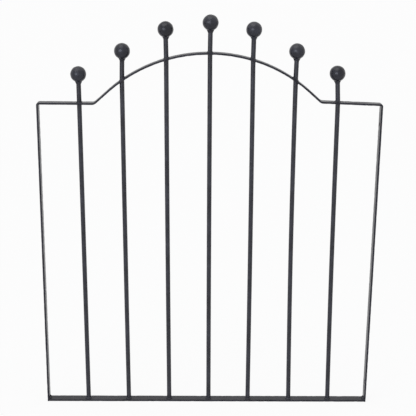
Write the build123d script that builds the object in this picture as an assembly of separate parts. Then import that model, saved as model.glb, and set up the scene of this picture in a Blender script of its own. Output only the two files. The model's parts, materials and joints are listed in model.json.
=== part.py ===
from build123d import *
import math
import os

# A single-leaf garden gate of bent flat bar and round bar, in millimetres.
# X runs from the latch stile to the hinge stile, Y from the front to the back and Z up.
# The origin is on the hinge stile's outer face, midway between its two hinge bolt holes.

# Flat bar of the hoop and the bottom rail
leaf_width = 870.0
flat_width = 25.0
flat_thickness = 5.0

# Hoop, measured to its outer face: two stiles, two shoulders and the arch, all one bent bar
shoulder_height = 824.0
hinge_shoulder_slope = 2.0
hinge_corner_rise = 2.0
arch_rise = 127.5
arch_shift = -1.5
spring_past_bar = 38.0
corner_bend_radius = 8.0
kink_bend_radius = 22.0

# Hinge bolt holes through the hinge stile, measured from its foot and from its top corner
hinge_hole_diameter = 8.5
lower_hole_rise = 55.0
upper_hole_drop = 51.0

# Upright round bars below the hoop, set by hand: how far the foot of each, and its line at shoulder height,
# stand from the even spacing between the stiles, positive towards the hinge stile
bar_diameter = 12.0
bar_foot_shifts = [0.3, 2.2, 4.5, 3.9, 3.3, 7.0, 6.4]
bar_top_shifts = [-3.8, -3.8, -1.0, -0.5, -1.3, -1.9, -2.4]

# Stubs above the hoop: the height that they share, what each adds to it, and the lean of each in degrees
stub_height = 50.0
stub_extra_heights = [0.5, 0.0, 1.0, 2.5, 1.5, 0.0, 1.0]
stub_leans = [-0.5, 1.1, -1.2, 0.5, 0.6, 0.9, -3.3]

# Balls and weld beads
ball_diameter = 40.0
neck_weld_leg = 4.0
neck_weld_drop = 5.0
neck_weld_bulge = 0.4
crossing_weld_leg = 3.2
foot_weld_leg = 3.0
corner_weld_leg = 5.0
corner_weld_margin = 1.5
weld_bevel_share = 0.85

bar_radius = bar_diameter / 2
ball_radius = ball_diameter / 2
ball_rise = flat_thickness / 2 + stub_height + ball_radius
hole_spacing = shoulder_height - upper_hole_drop - lower_hole_rise
bottom_z = -hole_spacing / 2 - lower_hole_rise
rail_top_z = bottom_z + flat_thickness
shoulder_z = bottom_z + shoulder_height
crown_z = shoulder_z + arch_rise
middle_x = -leaf_width / 2
arch_x = middle_x + arch_shift
slope = math.radians(hinge_shoulder_slope)
bar_count = len(stub_leans)
bar_pitch = (leaf_width - flat_thickness) / (bar_count + 1)
bar_places = [middle_x + bar_pitch * (i - (bar_count - 1) / 2) for i in range(bar_count)]
bar_feet = [place + shift for place, shift in zip(bar_places, bar_foot_shifts)]
bar_leans = [
    math.degrees(math.atan((top - foot) / (shoulder_height - flat_thickness)))
    for foot, top in zip(bar_foot_shifts, bar_top_shifts)
]
half_span = middle_x - bar_places[0] - spring_past_bar
arch_radius = (half_span**2 + arch_rise**2) / (2 * arch_rise)
arch_centre_z = crown_z - arch_radius


def region_within(inset):
    """The solid space inside the hoop's outer face, drawn in by the inset."""
    left = -leaf_width + inset
    right = -inset
    level_z = shoulder_z - inset
    corner_z = shoulder_z + hinge_corner_rise + inset * math.tan(slope) - inset / math.cos(slope)
    outline = Polyline(
        (left, bottom_z),
        (right, bottom_z),
        (right, corner_z),
        (middle_x, corner_z + (right - middle_x) * math.tan(slope)),
        (middle_x, level_z),
        (left, level_z),
        close=True,
    )
    dome_floor = Plane((0, level_z - flat_thickness), z_dir=(0, 1, 0))
    dome = split(Pos(arch_x, arch_centre_z) * Circle(arch_radius - inset), dome_floor)
    area = make_face(outline) + dome
    area = fillet(top_vertices(area, left, right, False), kink_bend_radius + inset)
    if corner_bend_radius > inset:
        area = fillet(top_vertices(area, left, right, True), corner_bend_radius - inset)
    return extrude(Plane.XZ * area, flat_width / 2, both=True)


def top_vertices(area, left, right, at_corners):
    """Upper vertices of the hoop's outline, either its two corners or the two kinks between them."""
    upper = area.vertices().filter_by(lambda v: v.Y > (bottom_z + shoulder_z) / 2)
    return upper.filter_by(lambda v: (min(v.X - left, right - v.X) < flat_thickness) == at_corners)


def hoop_height(x):
    """Height of the bent bar's mid-thickness at a place along X."""
    radius = arch_radius - flat_thickness / 2
    height = shoulder_z - flat_thickness / 2
    if x > middle_x:
        height += hinge_corner_rise - x * math.tan(slope)
    if abs(x - arch_x) < radius:
        height = max(height, arch_centre_z + math.sqrt(radius**2 - (x - arch_x) ** 2))
    return height


def make_hoop():
    hoop = outside - inside
    for z in (-hole_spacing / 2, hole_spacing / 2):
        hoop -= Pos(0, 0, z) * Rot(0, 90, 0) * Cylinder(hinge_hole_diameter / 2, 4 * flat_thickness)
    return hoop


def make_bottom_rail():
    length = leaf_width - 2 * flat_thickness
    return Pos(middle_x, 0, bottom_z + flat_thickness / 2) * Box(length, flat_width, flat_thickness)


def upright(foot_x, lean, low, high, radius):
    """A round solid about a bar's line, cut level at two heights."""
    rod = Pos(foot_x, 0, rail_top_z) * Rot(0, lean, 0) * Cylinder(radius, 3 * shoulder_height)
    return rod & Pos(middle_x, 0, (low + high) / 2) * Box(leaf_width, 2 * flat_width, high - low)


def stub_frame(foot_x, lean, stub_lean):
    """Where a stub stands: where its bar's line meets the middle of the bent bar, with Z along the stub."""
    x = foot_x
    for _ in range(8):
        x = foot_x + (hoop_height(x) - rail_top_z) * math.tan(math.radians(lean))
    return Pos(x, 0, hoop_height(x)) * Rot(0, stub_lean, 0)


def make_bar(foot_x, lean):
    """A bar from the bottom rail to the hoop, its top coped to the hoop's underside."""
    return upright(foot_x, lean, rail_top_z, crown_z, bar_radius) & inside


def make_stub(seat, rise, ball):
    """A stub coped to the hoop's outer face below and to its ball above."""
    stub = seat * Pos(0, 0, rise / 2) * Cylinder(bar_radius, rise + 2 * bar_diameter)
    stub = split(stub, Plane(seat * Pos(0, 0, rise)), Keep.BOTTOM)
    return stub - outside - ball


def make_ball(seat, rise):
    return seat * Pos(0, 0, rise) * Sphere(ball_radius)


def make_neck_weld(seat, rise, ball):
    """A ring bead that fills the angle between a stub and its ball."""
    ring_radius = bar_radius + neck_weld_leg
    touch_z = -math.sqrt(ball_radius**2 - ring_radius**2)
    toe_z = -math.sqrt(ball_radius**2 - bar_radius**2) - neck_weld_drop
    middle = ((bar_radius + ring_radius) / 2 + neck_weld_bulge, (toe_z + touch_z) / 2 - neck_weld_bulge)
    face = ThreePointArc((bar_radius, toe_z), middle, (ring_radius, touch_z))
    back = Polyline((ring_radius, touch_z), (bar_radius, touch_z), (bar_radius, toe_z))
    bead = revolve(Plane.XZ * make_face(face + back), Axis.Z)
    return seat * Pos(0, 0, rise) * bead - ball


def make_crossing_welds(foot_x, lean, seat):
    """Beads round the bar against the hoop's underside and round the stub on its outer face."""
    ring_radius = bar_radius + crossing_weld_leg
    bevel = crossing_weld_leg * weld_bevel_share
    reach = 4 * bar_diameter
    under = (upright(foot_x, lean, rail_top_z, crown_z, ring_radius) & inside) - inside_under_welds
    under = bevel_bead(under, bevel, False) - upright(foot_x, lean, rail_top_z, crown_z, bar_radius)
    over = (seat * Cylinder(ring_radius, reach) & outside_over_welds) - outside
    over = bevel_bead(over, bevel, True) - seat * Cylinder(bar_radius, reach)
    return Compound([under, over])


def make_foot_weld(foot_x, lean):
    """A bead round the bar's foot on the bottom rail."""
    ring = Pos(foot_x, 0, rail_top_z + foot_weld_leg / 2) * Cylinder(bar_radius + foot_weld_leg, foot_weld_leg)
    ring = bevel_bead(ring, foot_weld_leg * weld_bevel_share, True)
    return ring - upright(foot_x, lean, rail_top_z - foot_weld_leg, rail_top_z + 2 * foot_weld_leg, bar_radius)


def bevel_bead(bead, bevel, top):
    """Slopes the free rim of a bead's collar, the one away from the flat bar."""
    rims = bead.edges().filter_by(lambda e: e.is_closed).sort_by(Axis.Z)
    return chamfer(rims[-1] if top else rims[0], bevel)


def make_corner_welds():
    """Beads in the angles between the bottom rail's top face and the two stiles."""
    length = flat_width - 2 * corner_weld_margin
    beads = []
    for x, side in ((-leaf_width + flat_thickness, 1), (-flat_thickness, -1)):
        outline = Polyline(
            (x, rail_top_z),
            (x + side * corner_weld_leg, rail_top_z),
            (x, rail_top_z + corner_weld_leg),
            close=True,
        )
        beads.append(extrude(Plane.XZ * make_face(outline), length / 2, both=True))
    return Compound(beads)


outside = region_within(0)
inside = region_within(flat_thickness)
inside_under_welds = region_within(flat_thickness + crossing_weld_leg)
outside_over_welds = region_within(-crossing_weld_leg)

nodes = {
    "hoop": make_hoop(),
    "bottom_rail": make_bottom_rail(),
    "corner_welds": make_corner_welds(),
}
for i, (foot_x, lean) in enumerate(zip(bar_feet, bar_leans), start=1):
    seat = stub_frame(foot_x, lean, stub_leans[i - 1])
    rise = ball_rise + stub_extra_heights[i - 1]
    ball = make_ball(seat, rise)
    nodes[f"bar_{i}"] = make_bar(foot_x, lean)
    nodes[f"stub_{i}"] = make_stub(seat, rise, ball)
    nodes[f"ball_{i}"] = ball
    nodes[f"neck_weld_{i}"] = make_neck_weld(seat, rise, ball)
    nodes[f"crossing_welds_{i}"] = make_crossing_welds(foot_x, lean, seat)
    nodes[f"foot_weld_{i}"] = make_foot_weld(foot_x, lean)

os.makedirs("parts", exist_ok=True)
for name, solid in nodes.items():
    export_step(solid, f"parts/{name}.step")
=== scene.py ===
import json
import math

import bpy
import numpy as np
from mathutils import Matrix, Vector


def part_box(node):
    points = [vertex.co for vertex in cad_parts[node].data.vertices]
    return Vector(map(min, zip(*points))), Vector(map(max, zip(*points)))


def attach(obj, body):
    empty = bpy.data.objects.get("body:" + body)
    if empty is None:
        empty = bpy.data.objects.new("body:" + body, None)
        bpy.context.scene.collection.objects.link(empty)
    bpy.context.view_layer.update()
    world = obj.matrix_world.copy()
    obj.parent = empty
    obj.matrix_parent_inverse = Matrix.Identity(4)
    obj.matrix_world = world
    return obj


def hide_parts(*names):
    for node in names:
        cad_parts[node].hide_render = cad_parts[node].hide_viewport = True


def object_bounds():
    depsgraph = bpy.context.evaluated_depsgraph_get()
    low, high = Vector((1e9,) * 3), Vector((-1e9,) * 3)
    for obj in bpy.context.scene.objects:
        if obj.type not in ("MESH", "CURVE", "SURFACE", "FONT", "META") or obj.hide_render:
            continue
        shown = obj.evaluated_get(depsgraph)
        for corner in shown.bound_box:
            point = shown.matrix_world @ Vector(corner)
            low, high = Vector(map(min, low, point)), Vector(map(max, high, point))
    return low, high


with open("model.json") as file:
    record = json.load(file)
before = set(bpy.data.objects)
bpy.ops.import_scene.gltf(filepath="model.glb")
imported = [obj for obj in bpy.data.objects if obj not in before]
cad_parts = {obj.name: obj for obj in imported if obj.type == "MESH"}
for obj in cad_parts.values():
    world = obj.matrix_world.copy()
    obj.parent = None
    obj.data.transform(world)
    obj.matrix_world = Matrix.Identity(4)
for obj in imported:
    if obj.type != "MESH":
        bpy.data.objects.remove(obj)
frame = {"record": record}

bl_info = {
    "name": "Arched Garden Gate",
    "version": (1, 0, 0),
    "blender": (4, 5, 0),
    "location": "View3D > Sidebar > Gate",
    "description": "Builds a painted iron garden gate leaf with an arched top, round bars and ball finials",
    "category": "Add Mesh",
}

MM = 0.001
BARS = range(1, 8)
CAD_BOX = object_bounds()
HOOP_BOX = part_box("hoop")
RAIL_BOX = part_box("bottom_rail")
THICKNESS = RAIL_BOX[1].z - RAIL_BOX[0].z
WIDTH = RAIL_BOX[1].y - RAIL_BOX[0].y
HOLES = next(m for m in frame["record"]["mounts"] if m["kind"] == "bolt_pattern")
SHARP_DEGREES = 50
FEWEST_ROWS = 6
SOLVE_ROUNDS = 5
HOOP_SEED, RAIL_SEED, BAR_SEED, STUB_SEED, BALL_SEED = 11, 21, 30, 40, 50
NECK_SEED, OVER_SEED, UNDER_SEED, FOOT_SEED, CORNER_SEED = 60, 70, 80, 90, 100
DEPTH = np.array([0.0, 1.0, 0.0])
RAYS = ("Is Camera Ray", "Is Glossy Ray", "Is Transmission Ray")
WHITE = (1.0, 1.0, 1.0)


def length(name, description, default):
    """A bpy length property, its default given in metres."""
    return bpy.props.FloatProperty(
        name=name, description=description, default=default, unit="LENGTH", precision=5
    )


def share(name, description, default):
    """A bpy property between 0 and 1."""
    return bpy.props.FloatProperty(
        name=name, description=description, default=default, min=0.0, max=1.0, subtype="FACTOR"
    )


def angle(name, description, degrees):
    """A bpy angle property, its default given in degrees."""
    return bpy.props.FloatProperty(
        name=name, description=description, default=math.radians(degrees), subtype="ANGLE"
    )


def colour(name, description, default):
    """A bpy colour property, linear red, green and blue."""
    return bpy.props.FloatVectorProperty(
        name=name, description=description, default=default, size=3, min=0.0, max=1.0, subtype="COLOR"
    )


def power(name, description, default):
    """A bpy property for the strength of a lamp."""
    return bpy.props.FloatProperty(name=name, description=description, default=default, min=0.0, unit="POWER")


def heading(name, description, default):
    """A bpy direction property."""
    return bpy.props.FloatVectorProperty(
        name=name, description=description, default=default, subtype="DIRECTION"
    )


class GateHoopSettings(bpy.types.PropertyGroup):
    """The bent flat bar of the frame and the flat bottom rail."""

    edge_radius: length("Edge radius", "Rolled radius of the flat bar's long edges", 0.8 * MM)
    corner_bend: length("Corner bend", "Outer radius of the two top corners", 6 * MM)
    kink_bend: length("Kink bend", "Upper radius where a shoulder turns into the arch", 12 * MM)
    spring_past_bar: length("Spring past bar", "Distance from an end bar to the foot of the arch", 38 * MM)
    flank: angle("Flank", "Slope of the short straight run at each foot of the arch", 41.5)
    arch_shift: length("Arch shift", "Place of the arch's middle along X from the leaf's middle", -1.5 * MM)
    slope: angle("Shoulder slope", "Fall of the hinge shoulder towards its corner", 2)
    corner_rise: length("Corner rise", "Height of the hinge corner above the latch corner", 2 * MM)
    hole_bevel: length("Hole bevel", "Bevel round the mouth of each hinge hole", 0.5 * MM)
    waver: length("Waver", "Depth of the hand-worked waver in the flat faces", 0.14 * MM)
    pinch: share("Pinch", "How far a tight bend swells the inside of the bar and thins its outside", 0.03)
    step: length("Step", "Distance between rows of points along the bar", 4 * MM)


class GateBarSettings(bpy.types.PropertyGroup):
    """The round uprights, their stubs and the balls."""

    waver: length("Bar waver", "Depth of the waver in the drawn bars", 0.07 * MM)
    bows: bpy.props.FloatVectorProperty(
        name="Bows",
        description="How far each bar's middle stands off its line, towards the hinge stile where positive",
        default=(0.0, -0.0005, -0.0006, -0.0004, 0.0005, -0.0023, -0.0013),
        size=7,
        unit="LENGTH",
    )
    dent: length("Ball dents", "Depth of the hammer marks in the balls", 0.40 * MM)
    dent_count: bpy.props.IntProperty(name="Dent count", description="Hammer marks on each ball", default=70)
    sides: bpy.props.IntProperty(name="Sides", description="Points round each bar", default=32)
    step: length("Step", "Distance between rows of points along a bar", 7 * MM)


class GateWeldSettings(bpy.types.PropertyGroup):
    """The weld beads between the bars."""

    ripple_pitch: length("Ripple pitch", "Distance between the ripples of a bead", 1.9 * MM)
    ripple_depth: share("Ripple depth", "Height of the ripples as a share of the bead's radius", 0.13)
    neck_reach: length("Neck reach", "Reach of the bead on a ball", 3.2 * MM)
    neck_climb: length("Neck climb", "Length of the bead down a stub from its ball", 5.6 * MM)
    crossing_reach: length("Crossing reach", "Reach of the beads where a bar meets the hoop", 2.3 * MM)
    foot_reach: length("Foot reach", "Reach of the bead round a bar's foot", 2.8 * MM)
    corner_leg: length("Corner leg", "Reach of the beads in the two bottom corners", 5 * MM)
    uneven: share("Uneven", "How much a bead's width wanders", 0.14)


class GatePaintSettings(bpy.types.PropertyGroup):
    """The paint and its wear."""

    paint: colour("Paint", "Blue-black paint", (0.0060, 0.0064, 0.0110))
    faded: colour("Faded paint", "Paint that has chalked in the weather", (0.036, 0.037, 0.050))
    # Dust colour for faces that look up; it also serves as painted top light that lightens those faces.
    dust_and_top_light_tone: colour("Dust", "Dust lying on faces that look up", (0.20, 0.19, 0.17))
    rust: colour("Rust", "Rust where the paint is broken", (0.075, 0.040, 0.025))
    steel: colour("Steel", "Dark mill scale under a chip", (0.095, 0.093, 0.095))
    roughness: share("Roughness", "Mean roughness of the paint", 0.31)
    chips: share("Chips", "How much paint is gone from worn edges", 0.48)


class GateStageSettings(bpy.types.PropertyGroup):
    """The camera, the lamps and the floor."""

    camera_away: length("Camera distance", "Distance of the camera in front of the leaf", 2.484)
    camera_rise: length("Camera height", "Height of the camera above the leaf's foot", 1.286)
    camera_aside: length("Camera aside", "Distance of the camera left of the leaf's middle", 0.0426)
    pitch: angle("Pitch", "Angle that the camera looks down by", 16.53)
    yaw: angle("Yaw", "Angle that the camera turns to its right", 0.927)
    roll: angle("Roll", "Angle that the camera is tipped to its left", 0.573)
    lens: length("Lens", "Focal length on a 36 mm sensor", 86.5 * MM)
    key_power: power("Key power", "Strength of the soft lamp overhead", 1.0)
    key_softness: angle("Key softness", "How wide the overhead lamp looks from the leaf", 48)
    key_heading: heading("Key heading", "Way the overhead lamp shines", (0.20, 0.16, -0.97))
    front_power: power("Front power", "Strength of the soft lamp left of the camera", 2.0)
    front_softness: angle("Front softness", "How wide the front lamp looks from the leaf", 42)
    front_heading: heading("Front heading", "Way the front lamp shines", (0.41, 0.90, -0.10))
    front_tint: colour("Front tint", "Colour of the front lamp", (0.80, 0.86, 1.0))
    sky: share("Sky", "Level of the soft light from all round", 0.45)
    floor_shade: share("Floor shade", "How much of the floor's own shading shows", 0.10)
    floor: colour("Floor", "Pale floor", (0.90, 0.90, 0.90))


SETTINGS = {
    "gate_hoop": GateHoopSettings,
    "gate_bars": GateBarSettings,
    "gate_welds": GateWeldSettings,
    "gate_paint": GatePaintSettings,
    "gate_stage": GateStageSettings,
}


def full_turn(count):
    """Evenly spaced angles all the way round, the last one left out."""
    return np.linspace(0, 2 * np.pi, count, endpoint=False)


def waver(seed, size, *coordinates):
    """Smooth undulation between -1 and 1: the mean of sine waves of mixed headings, lengths and phases."""
    random = np.random.default_rng(seed)
    waves, shortest, longest = 9, 0.6, 1.7
    total = 0.0
    for _ in range(waves):
        way = random.normal(size=len(coordinates))
        way *= 2 * np.pi * random.uniform(shortest, longest) / (size * np.linalg.norm(way))
        phase = random.uniform(0, 2 * np.pi)
        total = total + np.sin(sum(w * c for w, c in zip(way, coordinates)) + phase)
    return np.clip(total / math.sqrt(waves), -1, 1)


def skin(points, ends=True):
    """Flat points, quads and closing triangles of a grid of points whose columns run round.

    Fans of triangles close the first and last row. With ends false the rows run round as well, as on a ring.
    """
    rows, columns, parts = points.shape
    row, column = np.meshgrid(np.arange(rows - 1 if ends else rows), np.arange(columns), indexing="ij")
    next_row, next_column = (row + 1) % rows, (column + 1) % columns
    corners = (row, column), (next_row, column), (next_row, next_column), (row, next_column)
    quads = np.stack([r * columns + c for r, c in corners], axis=-1).reshape(-1, 4)
    flat = points.reshape(-1, parts)
    if not ends:
        return flat, quads, np.empty((0, 3), dtype=int)
    here = np.arange(columns)
    there = (here + 1) % columns
    last = (rows - 1) * columns
    first_fan = np.stack([here, there, np.full(columns, len(flat))], axis=-1)
    last_fan = np.stack([last + there, last + here, np.full(columns, len(flat) + 1)], axis=-1)
    middles = [points[0].mean(axis=0), points[-1].mean(axis=0)]
    return np.concatenate([flat, middles]), quads, np.concatenate([first_fan, last_fan])


def outward(points, quads, fans):
    """Quads and triangles, turned over where the volume that they enclose comes out negative."""
    corners = (points - points.mean(axis=0))[np.concatenate([quads[:, :3], quads[:, [0, 2, 3]], fans])]
    volume = np.einsum("ij,ij->", corners[:, 0], np.cross(corners[:, 1], corners[:, 2]))
    return (quads, fans) if volume > 0 else (quads[:, ::-1], fans[:, ::-1])


def make_mesh(name, surfaces, paint):
    """Makes one mesh from closed surfaces: points, unbent places, wear and whether each has ends.

    The unbent place is the point's place on the bar before it was bent, which the paint's patterns follow.
    """
    points, quads, fans = [], [], []
    start = 0
    for surface, places, worn, ends in surfaces:
        flat, *faces = skin(np.concatenate([surface, places, worn[..., None]], axis=-1), ends)
        own_quads, own_fans = outward(flat[:, :3], *faces)
        points.append(flat)
        quads.append(own_quads + start)
        fans.append(own_fans + start)
        start += len(flat)
    points = np.concatenate(points)
    mesh = bpy.data.meshes.new(name)
    faces = np.concatenate(quads).tolist() + np.concatenate(fans).tolist()
    mesh.from_pydata(points[:, :3].tolist(), [], faces)
    unbent = mesh.attributes.new("unbent", "FLOAT_VECTOR", "POINT")
    unbent.data.foreach_set("vector", points[:, 3:6].astype(np.float32).ravel())
    worn = mesh.attributes.new("worn", "FLOAT", "POINT")
    worn.data.foreach_set("value", points[:, 6].astype(np.float32))
    mesh.materials.append(bpy.data.materials[paint])
    return mesh


def add_piece(name, nodes, mesh):
    """Shows a mesh in place of the CAD nodes that it stands for."""
    mesh.shade_smooth()
    mesh.set_sharp_from_angle(angle=math.radians(SHARP_DEGREES))
    piece = bpy.data.objects.new(name, mesh)
    bpy.context.scene.collection.objects.link(piece)
    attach(piece, "root")
    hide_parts(*nodes)


def arch_line(settings):
    """Middle place, shoulder height, outer radius and centre height of the arch."""
    middle = (HOOP_BOX[0].x + HOOP_BOX[1].x) / 2 + settings.arch_shift
    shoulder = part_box("bar_1")[1].z + THICKNESS
    rise = HOOP_BOX[1].z - shoulder
    pitch = (HOOP_BOX[1].x - HOOP_BOX[0].x - THICKNESS) / (len(BARS) + 1)
    span = pitch * (len(BARS) - 1) / 2 - settings.spring_past_bar
    radius = (span**2 + rise**2) / (2 * rise)
    return middle, shoulder, radius, HOOP_BOX[1].z - radius


def hoop_face(settings, x, inset):
    """Height of the bent bar at a place along X, the inset below its outer face."""
    middle, shoulder, radius, centre_z = arch_line(settings)
    x = np.asarray(x, dtype=float)
    across = x - middle
    arch = centre_z + np.sqrt(np.maximum((radius - inset) ** 2 - across**2, 0))
    hinge_side = shoulder + settings.corner_rise - x * math.tan(settings.slope)
    level = np.where(across > 0, hinge_side, shoulder) - inset
    return np.where(np.abs(across) < radius - inset, np.maximum(arch, level), level)


def arc(centre, radius, start, end, step):
    """Points of an arc and the direction from its centre to each, the last point left out."""
    count = max(FEWEST_ROWS, math.ceil(abs(end - start) * radius / step))
    turn = np.linspace(start, end, count, endpoint=False)
    direction = np.stack([np.cos(turn), np.sin(turn)], axis=-1)
    return np.asarray(centre) + radius * direction, direction


def run(start, end, step):
    """Evenly spaced points from one place to another, the last point left out."""
    count = math.ceil(np.linalg.norm(end - start) / step)
    return start + np.linspace(0, 1, count, endpoint=False)[:, None] * (end - start)


def half_line(settings, reach, slope, corner_rise):
    """Middle line of half the bent bar, from the foot of a stile to the crown, with X outward from the crown.

    The stile, the corner arc, the falling shoulder, the kink arc, the straight flank and half the arch join
    on common tangents. The reach is the distance from the crown to the stile's outer face. Returns the
    points, the bar's outer normals and how tight the bend is, positive where it closes inwards.
    """
    _, shoulder, radius, centre_z = arch_line(settings)
    half = THICKNESS / 2
    stile_x = reach - half
    corner = settings.corner_bend - half
    kink = settings.kink_bend + half
    radius -= half
    normal = np.array([math.sin(slope), math.cos(slope)])
    flank_normal = np.array([math.sin(settings.flank), math.cos(settings.flank)])
    start = np.array([stile_x, shoulder + corner_rise + half * math.tan(slope) - half / math.cos(slope)])
    corner_x = stile_x - corner
    corner_z = start[1] + corner * math.tan(slope) - corner / math.cos(slope)
    arch_centre = np.array([0.0, centre_z])
    flank_end = arch_centre + radius * flank_normal
    offsets = [start @ normal + kink, flank_end @ flank_normal + kink]
    kink_centre = np.linalg.solve([normal, flank_normal], offsets)
    foot = np.array([stile_x, HOOP_BOX[0].z])
    stile_top = np.array([stile_x, corner_z])
    shoulder_start = np.array([corner_x, corner_z]) + corner * normal
    shoulder_end = kink_centre - kink * normal
    flank_start = kink_centre - kink * flank_normal

    fine = settings.step / 4
    stile = run(foot, stile_top, settings.step)
    bend, bend_out = arc((corner_x, corner_z), corner, 0, math.pi / 2 - slope, fine)
    level = run(shoulder_start, shoulder_end, settings.step)
    dip, dip_out = arc(kink_centre, kink, 1.5 * math.pi - slope, 1.5 * math.pi - settings.flank, fine)
    flank = run(flank_start, flank_end, settings.step)
    crown, crown_out = arc(arch_centre, radius, math.pi / 2 - settings.flank, math.pi / 2, settings.step)
    top = np.array([[0.0, centre_z + radius]])
    points = np.concatenate([stile, bend, level, dip, flank, crown, top])
    stile_out = np.tile([1.0, 0.0], (len(stile), 1))
    level_out = np.tile(normal, (len(level), 1))
    flank_out = np.tile(flank_normal, (len(flank), 1))
    normals = np.concatenate([stile_out, bend_out, level_out, -dip_out, flank_out, crown_out, [[0.0, 1.0]]])
    tight = np.zeros(len(points))
    first, second = len(stile), len(stile) + len(bend) + len(level)
    tight[first : first + len(bend)] = np.sin(np.pi * (np.arange(len(bend)) + 0.5) / len(bend))
    tight[second : second + len(dip)] = -np.sin(np.pi * (np.arange(len(dip)) + 0.5) / len(dip))
    return points, normals, tight


def flat_section(radius):
    """Outline of the flat bar across thickness and width, its outward directions and nearness to an edge."""
    edge_points, face_points = 5, (4, 14)
    edge_wear = 1.2 * MM
    turn = np.linspace(0, np.pi / 2, edge_points)
    reach = np.array([THICKNESS / 2 - radius, WIDTH / 2 - radius])
    outline, outwards, worn = [], [], []
    for quarter, sides in enumerate(((1, 1), (-1, 1), (-1, -1), (1, -1))):
        around = turn + quarter * np.pi / 2
        direction = np.stack([np.cos(around), np.sin(around)], axis=-1)
        edge = reach * sides + radius * direction
        face_length = 2 * reach[quarter % 2]
        count = face_points[quarter % 2]
        steps = np.linspace(0, 1, count + 2)[1:-1]
        face = edge[-1] - steps[:, None] * face_length * direction[0]
        nearest = np.minimum(steps, 1 - steps) * face_length
        outline += [edge, face]
        outwards += [direction, np.tile(direction[-1], (count, 1))]
        worn += [np.ones(edge_points), np.exp(-nearest / edge_wear)]
    return np.concatenate(outline), np.concatenate(outwards), np.concatenate(worn)


def flat_bar(settings, line, normals, tight, seed):
    """Carries the flat bar's section along a line in the XZ plane, each row square to the line.

    Seeded waver and nicks only take metal away. A tight bend widens the inner face and narrows the outer one.
    """
    hollow_length, nick_length, nick_share = 60 * MM, 14 * MM, 2.2
    section, outwards, worn = flat_section(settings.edge_radius)
    along = np.concatenate([[0.0], np.cumsum(np.linalg.norm(np.diff(line, axis=0), axis=1))])
    s, n, y = np.broadcast_arrays(along[:, None], section[:, 0], section[:, 1])
    hollows = settings.waver * (0.5 + 0.5 * waver(seed, hollow_length, s, n, y))
    nicks = np.clip(2 * waver(seed + 1, nick_length, s, n, y) - 0.9, 0, 1)
    nicks = nick_share * settings.waver * worn * nicks
    across = n - (hollows + nicks) * outwards[:, 0]
    deep = y - (hollows + nicks) * outwards[:, 1]
    deep = deep * (1 - settings.pinch * tight[:, None] * n / (THICKNESS / 2))
    points = np.stack(
        [line[:, :1] + across * normals[:, :1], deep, line[:, 1:] + across * normals[:, 1:]], axis=-1
    )
    return points, np.stack([s, n, y], axis=-1), np.broadcast_to(worn, s.shape).copy()


def hole_heights():
    """Heights of the two hinge bolt holes."""
    spacing = HOLES["dims"]["spacing_y_mm"] * MM
    return HOLES["pos_m"][2] - spacing / 2, HOLES["pos_m"][2] + spacing / 2


def hole_cutter(settings, z):
    """A hinge hole as a turned shape along X: a straight bore that opens at both mouths in a small bevel."""
    sides = 48
    bore = HOLES["dims"]["hole_r_mm"] * MM
    bevel, face = settings.hole_bevel, THICKNESS / 2
    flare = bore + bevel + face
    profile = np.array([(-2 * face, flare), (-face + bevel, bore), (face - bevel, bore), (2 * face, flare)])
    around = full_turn(sides)
    x = np.broadcast_to(HOOP_BOX[1].x - face + profile[:, :1], (len(profile), sides))
    points = np.stack([x, profile[:, 1:] * np.cos(around), z + profile[:, 1:] * np.sin(around)], axis=-1)
    return points, points, np.ones(points.shape[:2]), True


def cut_away(mesh, cutters):
    """The mesh with closed shapes cut out of it."""
    body = bpy.data.objects.new("uncut", mesh)
    tool = bpy.data.objects.new("cutter", cutters)
    for item in (body, tool):
        bpy.context.scene.collection.objects.link(item)
    boolean = body.modifiers.new("holes", "BOOLEAN")
    boolean.object = tool
    depsgraph = bpy.context.evaluated_depsgraph_get()
    result = bpy.data.meshes.new_from_object(
        body.evaluated_get(depsgraph), preserve_all_data_layers=True, depsgraph=depsgraph
    )
    for item in (body, tool):
        bpy.data.objects.remove(item)
    return result


def bar_radius():
    """Radius of the round bars."""
    low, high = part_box("bar_4")
    return (high.y - low.y) / 2


def bar_axes(i):
    """Foot of a bar on the bottom rail, and its sideways and lengthwise directions."""
    low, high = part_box(f"bar_{i}")
    weld_low, weld_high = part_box(f"foot_weld_{i}")
    foot = np.array([(weld_low.x + weld_high.x) / 2, 0.0, low.z])
    top_x = low.x + high.x - foot[0]
    top_z = float(hoop_face(bpy.context.scene.gate_hoop, top_x, THICKNESS))
    axis = np.array([top_x - foot[0], 0.0, top_z - foot[2]])
    axis /= np.linalg.norm(axis)
    return foot, np.array([axis[2], 0.0, -axis[0]]), axis


def crossing(i, inset):
    """Where the line of a bar meets the bent bar, the inset below its outer face."""
    foot, _, axis = bar_axes(i)
    x = foot[0]
    for _ in range(SOLVE_ROUNDS):
        z = float(hoop_face(bpy.context.scene.gate_hoop, x, inset))
        x = foot[0] + (z - foot[2]) * axis[0] / axis[2]
    return np.array([x, 0.0, z])


def stub_axes(i):
    """Foot of a stub on the bent bar's middle, its ball's centre and its sideways and lengthwise ways."""
    low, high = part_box(f"ball_{i}")
    centre = np.array((low + high) / 2)
    foot = crossing(i, THICKNESS / 2)
    axis = (centre - foot) / np.linalg.norm(centre - foot)
    return foot, centre, np.array([axis[2], 0.0, -axis[0]]), axis


def cope(foot, sideways, axis, radius, around, inset):
    """Distances along a round bar where its surface lines meet the bent bar, the inset below its face."""
    side = foot + radius * np.cos(around)[:, None] * sideways
    reach = np.full_like(around, hoop_face(bpy.context.scene.gate_hoop, foot[0], inset) - foot[2])
    for _ in range(SOLVE_ROUNDS):
        x = side[:, 0] + reach * axis[0]
        reach = (hoop_face(bpy.context.scene.gate_hoop, x, inset) - side[:, 2]) / axis[2]
    return reach


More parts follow.
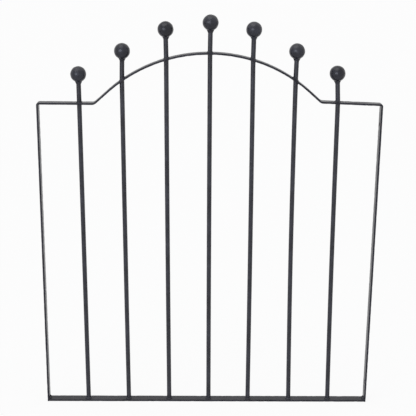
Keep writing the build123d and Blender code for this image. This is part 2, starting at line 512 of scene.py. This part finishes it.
def round_bar(settings, foot, sideways, axis, low, high, radius, seed, bow=0.0):
    """A round bar about an axis, from one distance along it to another, where each may differ round the bar.

    Seeded waver only takes metal away, and the wear rises towards both ends, where it was welded. The bow
    moves the middle sideways and leaves both ends where they are.
    """
    wave_length, end_wear, end_worn, shift = 45 * MM, 16 * MM, 0.75, 0.37 * seed
    around = full_turn(settings.sides)
    low, high = np.broadcast_to(low, around.shape), np.broadcast_to(high, around.shape)
    rows = max(FEWEST_ROWS, math.ceil(float((high - low).max()) / settings.step))
    share_up = np.linspace(0, 1, rows + 1)[:, None]
    s = low + (high - low) * share_up
    u = np.broadcast_to(radius * np.cos(around), s.shape)
    v = np.broadcast_to(radius * np.sin(around), s.shape)
    thin = settings.waver * (0.5 + 0.5 * waver(seed, wave_length, s, u, v)) / radius
    ends = np.minimum(s - low, high - s)
    swing = bow * np.sin(np.pi * share_up)
    points = foot + s[..., None] * axis + ((1 - thin) * u + swing)[..., None] * sideways
    points = points + ((1 - thin) * v)[..., None] * DEPTH
    places = np.stack([s + shift, u, v], axis=-1)
    return points, places, end_worn * np.exp(-ends / end_wear), True


def ball_radius(i):
    """Radius of a ball."""
    low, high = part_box(f"ball_{i}")
    return (high.x - low.x) / 2


def ball_surface(settings, centre, radius, sideways, axis, seed):
    """A forged ball: a globe whose radius falls by a slow waver and by the deepest dip that reaches a point.

    Each dip is a smooth hammer mark with a seeded place, width and depth. Wear is less in a dip.
    """
    rings, columns, lump_size, shift = 58, 88, 1.4, 0.21 * seed
    narrowest, widest, shallowest, worn_high, worn_fall = 0.13, 0.34, 0.35, 0.55, 32
    random = np.random.default_rng(seed)
    polar = np.linspace(0, np.pi, rings)[1:-1, None]
    around = full_turn(columns)
    side = np.cos(around)[:, None] * sideways + np.sin(around)[:, None] * DEPTH
    direction = -np.cos(polar)[..., None] * axis + np.sin(polar)[..., None] * side
    marks = random.normal(size=(settings.dent_count, 3))
    marks /= np.linalg.norm(marks, axis=1, keepdims=True)
    spread = random.uniform(narrowest, widest, settings.dent_count)
    depth = settings.dent * random.uniform(shallowest, 1.0, settings.dent_count)
    dips = (depth * np.exp(-2 * (1 - direction @ marks.T) / spread**2)).max(axis=-1)
    lumps = 0.5 * settings.dent * (0.5 + 0.5 * waver(seed, lump_size, *np.moveaxis(direction, -1, 0)))
    points = centre + (radius - dips - lumps)[..., None] * direction
    places = radius * direction + np.array([shift, 0.0, 0.0])
    wear = np.clip(worn_high - worn_fall * dips / radius, 0.0, 1.0)
    return points, places, wear, True


def bead_size(settings, around, seed):
    """Size of a weld bead round its ring: rounded ripples, sharp valleys, a wandering width, a start lump."""
    wander_length, start, start_height, start_narrowness = 9 * MM, 2.4 * seed, 0.22, 3.5
    skew, skews = 0.5, 3
    ring = bar_radius()
    ripples = round(2 * np.pi * ring / settings.ripple_pitch)
    slant = skew * np.sin(skews * around + seed)
    ripple = np.abs(np.sin(ripples * around / 2 + slant))
    wander = waver(seed, wander_length, ring * np.cos(around), ring * np.sin(around))
    lump = start_height * np.exp(start_narrowness * (np.cos(around - start) - 1))
    return (1 + settings.uneven * wander + lump) * (1 - settings.ripple_depth * (1 - ripple))


def ring_bead(settings, reach, climb, hollow, seed, stand):
    """A weld bead that fills the angle between a round bar and what it stands on.

    Its section runs from the reach on the seat to the climb on the bar along a cosine and a sine to the power
    of the hollow: 1 bulges, 2 is straight and more is hollow. The root lies inside both pieces. The stand
    function puts it on its seat.
    """
    columns, rows, toe, shift, worn = 144, 11, 0.9, 0.13 * seed, 0.45
    around = full_turn(columns)[:, None]
    size = bead_size(settings, around, seed)
    turn = np.linspace(0, np.pi / 2, rows)
    root, bar = 0.6 * MM, bar_radius() - 0.1 * MM
    out = reach * size * np.cos(turn) ** hollow
    up = climb * size * np.sin(turn) ** hollow
    flat = np.zeros_like(size)
    out = bar + np.concatenate([out, flat - root, flat - root, toe * out[:, :1]], axis=1)
    up = np.concatenate([up, toe * up[:, -1:], flat - root, flat - root], axis=1)
    points = stand(out * np.cos(around), out * np.sin(around), up)
    places = np.stack([out * np.cos(around) + shift, out * np.sin(around), up], axis=-1)
    return points, places, worn + 0.25 * np.broadcast_to(size - 1, out.shape), False


def corner_bead(settings, x, side, seed):
    """A weld bead along Y in a bottom corner: a fillet whose reach ripples and shrinks to both ends."""
    rows, columns, margin, root, past_square = 90, 14, 1.2 * MM, 1.2 * MM, 12
    wander_length, shift, worn = 10 * MM, 0.13 * seed, 0.6
    skew, roundness, taper = 0.9, 0.25, 6
    reach = WIDTH / 2 - margin
    y = reach * np.sin(np.linspace(-np.pi / 2, np.pi / 2, rows))[1:-1, None]
    turn = np.radians(np.linspace(-past_square, 90 + past_square, columns))
    leg = settings.corner_leg
    ripple = np.abs(np.sin(np.pi * y / settings.ripple_pitch + skew * np.sin(2 * turn)))
    straight = 1 / (np.abs(np.cos(turn)) + np.abs(np.sin(turn)))
    wander = waver(seed, wander_length, np.broadcast_to(y, ripple.shape))
    fillet = leg * (roundness + (1 - roundness) * straight) * (1 + settings.uneven * wander)
    fillet = fillet * (1 - settings.ripple_depth * (1 - ripple)) * (1 - np.abs(y / reach) ** taper) ** 0.5
    out, up = fillet * np.cos(turn), fillet * np.sin(turn)
    inner = np.full((len(y), 1), -root)
    out, up = np.concatenate([out, inner], axis=1), np.concatenate([up, inner], axis=1)
    points = np.stack([x + side * out, np.broadcast_to(y, out.shape), RAIL_BOX[1].z + up], axis=-1)
    places = np.stack([out + shift, np.broadcast_to(y, out.shape), up], axis=-1)
    return points, places, np.full(out.shape, worn), True


class Wire:
    """A shader socket. Arithmetic on it with a socket or a number adds Math nodes."""

    def __init__(self, finish, socket):
        self.finish = finish
        self.socket = socket

    def math(self, operation, left, right):
        """Adds a Math node."""
        return self.finish.node("ShaderNodeMath", {"operation": operation}, {0: left, 1: right})

    def __add__(self, other):
        return self.math("ADD", self, other)

    def __sub__(self, other):
        return self.math("SUBTRACT", self, other)

    def __rsub__(self, other):
        return self.math("SUBTRACT", other, self)

    def __mul__(self, other):
        return self.math("MULTIPLY", self, other)

    __radd__ = __add__
    __rmul__ = __mul__

    def most(self, other):
        """The larger of two values."""
        return self.math("MAXIMUM", self, other)

    def rise(self, low, high):
        """0 below the low value and 1 above the high one, with a smooth step between."""
        settings = {"interpolation_type": "SMOOTHSTEP"}
        return self.finish.node("ShaderNodeMapRange", settings, {0: self, 1: low, 2: high, 3: 0.0, 4: 1.0})


class Finish:
    """A material or world under construction."""

    def __init__(self, owner):
        owner.use_nodes = True
        self.tree = owner.node_tree
        self.tree.nodes.clear()

    def node(self, kind, settings, sockets, output=0):
        """Adds a node, with its settings first and then a value or a wire for each socket."""
        node = self.tree.nodes.new(kind)
        for name, value in settings.items():
            setattr(node, name, value)
        for key, value in sockets.items():
            if isinstance(value, Wire):
                self.tree.links.new(value.socket, node.inputs[key])
            else:
                node.inputs[key].default_value = value
        return Wire(self, node.outputs[output]) if node.outputs else None

    def noise(self, place, scale, detail=3.0, roughness=0.55):
        """A cloudy pattern from 0 to 1, finer where the scale is larger."""
        sockets = {"Vector": place, "Scale": scale, "Detail": detail, "Roughness": roughness}
        return self.node("ShaderNodeTexNoise", {}, sockets)

    def stretched(self, place, scale):
        """The place scaled by a different number each way, so that a pattern runs long or fine."""
        return self.node("ShaderNodeVectorMath", {"operation": "MULTIPLY"}, {0: place, 1: scale})

    def blend(self, factor, first, second):
        """A colour between two others."""
        return self.node("ShaderNodeMix", {"data_type": "RGBA"}, {0: factor, 6: first, 7: second}, 2)


def solid(rgb):
    """A colour property as red, green, blue and full alpha."""
    return (*rgb, 1.0)


def painted_metal(name, settings, gloss, lumpy, brushed=0.0, pitted=0.0, rusted=0.0):
    """Satin black paint over iron, with patterns that follow the bar.

    Broad clouds fade the colour, fine streaks lie along a brushed bar, and pits show the rough iron below.
    Paint is chipped where the wear is high and the noise agrees, with rust at the chip. Dust lies on faces
    that look up, and its pale colour there is also painted top light that lightens them.
    The gloss is the paint's refractive index.
    """
    finish = Finish(bpy.data.materials.new(name))
    place = finish.node("ShaderNodeAttribute", {"attribute_name": "unbent"}, {}, "Vector")
    worn = finish.node("ShaderNodeAttribute", {"attribute_name": "worn"}, {}, "Fac")
    normal = finish.node("ShaderNodeNewGeometry", {}, {}, "Normal")
    upward = finish.node("ShaderNodeSeparateXYZ", {}, {0: normal}, "Z")

    clouds = finish.noise(place, scale=11.0, detail=4.0)
    blotches = finish.noise(place, scale=85.0, detail=5.0, roughness=0.6)
    specks = finish.noise(place, scale=420.0, roughness=0.6)
    peel = finish.noise(place, scale=1100.0, detail=2.0)
    drawn_out = finish.stretched(place, (0.03, 1.0, 1.0))
    streaks = finish.noise(drawn_out, scale=900.0)
    sockets = {"Vector": place, "Scale": 260.0, "Randomness": 1.0}
    cells = finish.node("ShaderNodeTexVoronoi", {}, sockets, "Distance")
    pits = (1 - cells.rise(0.12, 0.42)) * blotches.rise(0.42, 0.62)

    wear = worn * 0.42 + blotches * 0.55 + specks * 0.22
    limit = 1.02 - 0.30 * settings.chips
    chipped = wear.rise(limit, limit + 0.05)
    stained = wear.rise(limit - 0.12, limit + 0.02) * rusted
    # Mask of faces that look up: dust, and also painted top light that makes these tops lighter.
    dust_and_top_light = upward.rise(0.35, 0.95) * clouds.rise(0.30, 0.75) * 0.55

    fading = clouds.rise(0.35, 0.70) * 0.45 + blotches.rise(0.42, 0.66) * 0.30
    fading = fading + specks.rise(0.45, 0.70) * 0.22
    tone = finish.blend(fading, solid(settings.paint), solid(settings.faded))
    tone = finish.blend(stained * 0.6, tone, solid(settings.rust))
    metal = finish.blend(specks.rise(0.40, 0.62), solid(settings.rust), solid(settings.steel))
    tone = finish.blend(chipped, tone, metal)
    # Painted top light and dust: faces that look up are blended towards the pale dust colour.
    tone = finish.blend(dust_and_top_light * 0.20, tone, solid(settings.dust_and_top_light_tone))

    roughness = settings.roughness + (blotches - 0.5) * 0.30 + (clouds - 0.5) * 0.24
    roughness = roughness + dust_and_top_light * 0.22 + chipped * 0.22 + stained * 0.10
    height = peel * 0.08 + blotches * lumpy + specks * 0.34 + streaks * brushed
    height = height - pits * pitted - chipped * 0.5
    bump = finish.node("ShaderNodeBump", {}, {"Strength": 0.7, "Distance": 0.20 * MM, "Height": height})
    sockets = {"Base Color": tone, "Roughness": roughness, "Metallic": chipped * 0.35, "Normal": bump}
    shader = finish.node("ShaderNodeBsdfPrincipled", {}, {**sockets, "IOR": gloss})
    finish.node("ShaderNodeOutputMaterial", {}, {"Surface": shader})


def make_paints(settings):
    """The four materials, one for each kind of metal in the leaf."""
    painted_metal("flat_bar_paint", settings, gloss=1.30, lumpy=0.8, brushed=0.45, pitted=0.70, rusted=0.6)
    painted_metal("round_bar_paint", settings, gloss=1.45, lumpy=0.9, brushed=0.45, pitted=0.45, rusted=0.8)
    painted_metal("ball_paint", settings, gloss=1.40, lumpy=2.6, pitted=0.80, rusted=0.7)
    painted_metal("bead_paint", settings, gloss=1.38, lumpy=1.0, pitted=0.80, rusted=1.0)


def seen(finish):
    """1 for rays that the camera, a gloss or a glass sends, and 0 for the rest."""
    rays = [finish.node("ShaderNodeLightPath", {}, {}, kind) for kind in RAYS]
    return rays[0].most(rays[1]).most(rays[2])


def make_floor(settings):
    """A pale floor that the camera and reflections see as white, with part of its shading for the shadow."""
    finish = Finish(bpy.data.materials.new("studio_floor"))
    place = finish.node("ShaderNodeTexCoord", {}, {}, "Object")
    grain = finish.noise(place, scale=3.0, detail=4.0)
    darker = [0.97 * level for level in settings.floor]
    tone = finish.blend(grain, solid(settings.floor), solid(darker))
    bump = finish.node("ShaderNodeBump", {}, {"Strength": 0.05, "Distance": MM, "Height": grain})
    rough = 0.85 + grain * 0.1
    sockets = {"Base Color": tone, "Roughness": rough, "Normal": bump}
    matt = finish.node("ShaderNodeBsdfPrincipled", {}, sockets)
    white = finish.node("ShaderNodeEmission", {}, {"Color": solid(WHITE), "Strength": 1.0})
    share_white = seen(finish) * (1.0 - settings.floor_shade)
    mixed = finish.node("ShaderNodeMixShader", {}, {0: share_white, 1: matt, 2: white})
    finish.node("ShaderNodeOutputMaterial", {}, {"Surface": mixed})

    half_side = 40.0
    corners = half_side * np.array([(-1, -1), (1, -1), (1, 1), (-1, 1)])
    points = np.column_stack([corners, np.full(len(corners), CAD_BOX[0].z)])
    mesh = bpy.data.meshes.new("studio_floor")
    mesh.from_pydata(points.tolist(), [], [(0, 1, 2, 3)])
    mesh.materials.append(bpy.data.materials["studio_floor"])
    floor = bpy.data.objects.new("studio_floor", mesh)
    bpy.context.scene.collection.objects.link(floor)


def make_sky(settings):
    """Soft light from all round, which the camera and reflections see as white."""
    world = bpy.data.worlds.new("studio_sky")
    finish = Finish(world)
    tone = finish.blend(seen(finish), solid([settings.sky] * 3), solid(WHITE))
    sky = finish.node("ShaderNodeBackground", {}, {"Color": tone, "Strength": 1.0})
    finish.node("ShaderNodeOutputWorld", {}, {"Surface": sky})
    bpy.context.scene.world = world


def make_lamp(name, strength, tint, softness, way):
    """A broad and distant soft lamp that shines one way."""
    lamp = bpy.data.lights.new(name, "SUN")
    lamp.energy = strength
    lamp.color = tint
    lamp.angle = softness
    holder = bpy.data.objects.new(name, lamp)
    holder.rotation_euler = Vector(way).to_track_quat("-Z", "Y").to_euler()
    bpy.context.scene.collection.objects.link(holder)


def make_camera(settings):
    """The camera at the photograph's angle."""
    pitch, yaw, roll = settings.pitch, settings.yaw, settings.roll
    forward = Vector((math.sin(yaw) * math.cos(pitch), math.cos(yaw) * math.cos(pitch), -math.sin(pitch)))
    level = Vector((math.cos(yaw), -math.sin(yaw), 0.0))
    above = level.cross(forward)
    right = math.cos(roll) * level + math.sin(roll) * above
    up = math.cos(roll) * above - math.sin(roll) * level
    turn = Matrix((right, up, -forward)).transposed()
    middle = (HOOP_BOX[0].x + HOOP_BOX[1].x) / 2
    height = HOOP_BOX[0].z + settings.camera_rise
    place = Vector((middle - settings.camera_aside, -settings.camera_away, height))
    camera = bpy.data.cameras.new("camera")
    camera.lens = settings.lens / MM
    camera.clip_end = 200.0
    view = bpy.data.objects.new("camera", camera)
    view.matrix_world = Matrix.Translation(place) @ turn.to_4x4()
    bpy.context.scene.collection.objects.link(view)
    bpy.context.scene.camera = view


class GatePaint(bpy.types.Operator):
    """Mix the paint for the bars, the balls and the welds"""

    bl_idname = "gate.paint"
    bl_label = "Paint"

    def execute(self, context):
        make_paints(context.scene.gate_paint)
        return {"FINISHED"}


class GateHoop(bpy.types.Operator):
    """Bend the flat bar that makes both stiles, both shoulders and the arch, and drill its hinge holes"""

    bl_idname = "gate.hoop"
    bl_label = "Hoop"

    def execute(self, context):
        settings = context.scene.gate_hoop
        middle = arch_line(settings)[0]
        left, left_out, left_tight = half_line(settings, middle - HOOP_BOX[0].x, 0.0, 0.0)
        hinge_reach = HOOP_BOX[1].x - middle
        right, right_out, right_tight = half_line(settings, hinge_reach, settings.slope, settings.corner_rise)
        line = np.concatenate([left * (-1, 1), right[-2::-1]]) + (middle, 0)
        normals = np.concatenate([left_out * (-1, 1), right_out[-2::-1]])
        tight = np.concatenate([left_tight, right_tight[-2::-1]])
        points, places, worn = flat_bar(settings, line, normals, tight, HOOP_SEED)
        rub_radius, rub_depth, rub_wear = 6.5 * MM, 1.5 * THICKNESS, 1.15
        on_stile = points[..., 0] > HOOP_BOX[1].x - rub_depth
        for height in hole_heights():
            rubbed = np.exp(-(((points[..., 2] - height) / rub_radius) ** 2)) * on_stile
            worn = np.maximum(worn, rub_wear * rubbed)
        bar = make_mesh("hoop_bar", [(points, places, worn, True)], "flat_bar_paint")
        drills = [hole_cutter(settings, height) for height in hole_heights()]
        add_piece("hoop_bar", ["hoop"], cut_away(bar, make_mesh("drills", drills, "flat_bar_paint")))
        return {"FINISHED"}


class GateRail(bpy.types.Operator):
    """Lay the flat bottom rail between the stiles"""

    bl_idname = "gate.rail"
    bl_label = "Bottom rail"

    def execute(self, context):
        settings = context.scene.gate_hoop
        seat = 0.3 * MM
        x = np.arange(RAIL_BOX[0].x - seat, RAIL_BOX[1].x + seat, settings.step)
        x = np.append(x[:-1], RAIL_BOX[1].x + seat)
        line = np.stack([x, np.full_like(x, (RAIL_BOX[0].z + RAIL_BOX[1].z) / 2)], axis=-1)
        normals = np.tile([0.0, 1.0], (len(x), 1))
        surface = flat_bar(settings, line, normals, np.zeros(len(x)), RAIL_SEED)
        add_piece("rail_bar", ["bottom_rail"], make_mesh("rail_bar", [(*surface, True)], "flat_bar_paint"))
        return {"FINISHED"}


class GateBars(bpy.types.Operator):
    """Stand the seven round uprights between the bottom rail and the bent bar"""

    bl_idname = "gate.bars"
    bl_label = "Bars"

    def execute(self, context):
        settings = context.scene.gate_bars
        radius = bar_radius()
        into_hoop, into_rail = 0.3 * MM, 0.2 * MM
        around = full_turn(settings.sides)
        for i in BARS:
            foot, sideways, axis = bar_axes(i)
            top = cope(foot, sideways, axis, radius, around, THICKNESS - into_hoop)
            bow, seed = settings.bows[i - 1], BAR_SEED + i
            surface = round_bar(settings, foot, sideways, axis, -into_rail, top, radius, seed, bow)
            add_piece(f"upright_{i}", [f"bar_{i}"], make_mesh(f"upright_{i}", [surface], "round_bar_paint"))
        return {"FINISHED"}


class GateStubs(bpy.types.Operator):
    """Stand the seven stubs on the bent bar, each foot cut to the bar's curve"""

    bl_idname = "gate.stubs"
    bl_label = "Stubs"

    def execute(self, context):
        settings = context.scene.gate_bars
        radius = bar_radius()
        into_hoop, into_ball = 0.4 * MM, 1.2 * MM
        around = full_turn(settings.sides)
        for i in BARS:
            foot, centre, sideways, axis = stub_axes(i)
            low = cope(foot, sideways, axis, radius, around, into_hoop)
            touch = np.linalg.norm(centre - foot) - math.sqrt(ball_radius(i) ** 2 - radius**2)
            high = touch + into_ball
            surface = round_bar(settings, foot, sideways, axis, low, high, radius, STUB_SEED + i)
            add_piece(f"pin_{i}", [f"stub_{i}"], make_mesh(f"pin_{i}", [surface], "round_bar_paint"))
        return {"FINISHED"}


class GateBalls(bpy.types.Operator):
    """Forge the seven balls"""

    bl_idname = "gate.balls"
    bl_label = "Balls"

    def execute(self, context):
        settings = context.scene.gate_bars
        for i in BARS:
            _, centre, sideways, axis = stub_axes(i)
            surface = ball_surface(settings, centre, ball_radius(i), sideways, axis, BALL_SEED + i)
            add_piece(f"finial_{i}", [f"ball_{i}"], make_mesh(f"finial_{i}", [surface], "ball_paint"))
        return {"FINISHED"}


class GateNeckWelds(bpy.types.Operator):
    """Run the beads between the stubs and the balls"""

    bl_idname = "gate.neck_welds"
    bl_label = "Neck welds"

    def execute(self, context):
        settings = context.scene.gate_welds
        reach, climb, hollow = settings.neck_reach, settings.neck_climb, 2.1
        for i in BARS:
            _, centre, sideways, axis = stub_axes(i)

            def stand(out, deep, down):
                below = down + np.sqrt(ball_radius(i) ** 2 - out**2 - deep**2)
                return centre - below[..., None] * axis + out[..., None] * sideways + deep[..., None] * DEPTH

            surface = ring_bead(settings, reach, climb, hollow, NECK_SEED + i, stand)
            mesh = make_mesh(f"neck_bead_{i}", [surface], "bead_paint")
            add_piece(f"neck_bead_{i}", [f"neck_weld_{i}"], mesh)
        return {"FINISHED"}


class GateCrossingWelds(bpy.types.Operator):
    """Run the beads under and over the bent bar at each upright"""

    bl_idname = "gate.crossing_welds"
    bl_label = "Crossing welds"

    def execute(self, context):
        settings = context.scene.gate_welds
        hoop = context.scene.gate_hoop
        reach, hollow = settings.crossing_reach, 1.5
        reach_under = 0.85 * reach
        for i in BARS:

            def over(out, deep, up):
                x = crossing(i, 0.0)[0] + out
                return np.stack([x, deep, hoop_face(hoop, x, 0.0) + up], axis=-1)

            def under(out, deep, up):
                x = crossing(i, THICKNESS)[0] + out
                return np.stack([x, deep, hoop_face(hoop, x, THICKNESS) - up], axis=-1)

            surfaces = [
                ring_bead(settings, reach, reach, hollow, OVER_SEED + i, over),
                ring_bead(settings, reach_under, reach_under, hollow, UNDER_SEED + i, under),
            ]
            mesh = make_mesh(f"crossing_beads_{i}", surfaces, "bead_paint")
            add_piece(f"crossing_beads_{i}", [f"crossing_welds_{i}"], mesh)
        return {"FINISHED"}


class GateFootWelds(bpy.types.Operator):
    """Run the beads round the feet of the bars"""

    bl_idname = "gate.foot_welds"
    bl_label = "Foot welds"

    def execute(self, context):
        settings = context.scene.gate_welds
        reach, hollow = settings.foot_reach, 1.4
        for i in BARS:

            def stand(out, deep, up):
                return np.stack([bar_axes(i)[0][0] + out, deep, RAIL_BOX[1].z + up], axis=-1)

            surface = ring_bead(settings, reach, reach, hollow, FOOT_SEED + i, stand)
            mesh = make_mesh(f"foot_bead_{i}", [surface], "bead_paint")
            add_piece(f"foot_bead_{i}", [f"foot_weld_{i}"], mesh)
        return {"FINISHED"}


class GateCornerWelds(bpy.types.Operator):
    """Run the beads where the bottom rail meets the stiles"""

    bl_idname = "gate.corner_welds"
    bl_label = "Corner welds"

    def execute(self, context):
        settings = context.scene.gate_welds
        surfaces = [
            corner_bead(settings, HOOP_BOX[0].x + THICKNESS, 1, CORNER_SEED + 1),
            corner_bead(settings, HOOP_BOX[1].x - THICKNESS, -1, CORNER_SEED + 2),
        ]
        add_piece("corner_beads", ["corner_welds"], make_mesh("corner_beads", surfaces, "bead_paint"))
        return {"FINISHED"}


class GateStage(bpy.types.Operator):
    """Set up the floor, the soft light and the camera"""

    bl_idname = "gate.stage"
    bl_label = "Stage"

    def execute(self, context):
        settings = context.scene.gate_stage
        make_floor(settings)
        make_sky(settings)
        make_lamp("key_lamp", settings.key_power, WHITE, settings.key_softness, settings.key_heading)
        tint, softness = settings.front_tint, settings.front_softness
        make_lamp("front_lamp", settings.front_power, tint, softness, settings.front_heading)
        make_camera(settings)
        context.scene.view_settings.view_transform = "Standard"
        return {"FINISHED"}


OPERATORS = (
    GatePaint,
    GateHoop,
    GateRail,
    GateBars,
    GateStubs,
    GateBalls,
    GateNeckWelds,
    GateCrossingWelds,
    GateFootWelds,
    GateCornerWelds,
    GateStage,
)


class GatePanel(bpy.types.Panel):
    """Lists the gate's settings and its operators"""

    bl_idname = "VIEW3D_PT_gate"
    bl_label = "Arched Garden Gate"
    bl_space_type = "VIEW_3D"
    bl_region_type = "UI"
    bl_category = "Gate"

    def draw(self, context):
        for name, kind in SETTINGS.items():
            box = self.layout.box()
            for key in kind.__annotations__:
                box.prop(getattr(context.scene, name), key)
        for operator in OPERATORS:
            self.layout.operator(operator.bl_idname)


def register():
    """Registers the settings, the operators and the panel."""
    for kind in (*SETTINGS.values(), *OPERATORS, GatePanel):
        bpy.utils.register_class(kind)
    for name, kind in SETTINGS.items():
        setattr(bpy.types.Scene, name, bpy.props.PointerProperty(type=kind))


def unregister():
    """Takes away what register added."""
    for name in SETTINGS:
        delattr(bpy.types.Scene, name)
    for kind in reversed((*SETTINGS.values(), *OPERATORS, GatePanel)):
        bpy.utils.unregister_class(kind)


def main():
    """Builds the gate and its stage."""
    register()
    for operator in OPERATORS:
        getattr(bpy.ops.gate, operator.bl_idname.split(".")[1])()


if __name__ == "__main__":
    main()
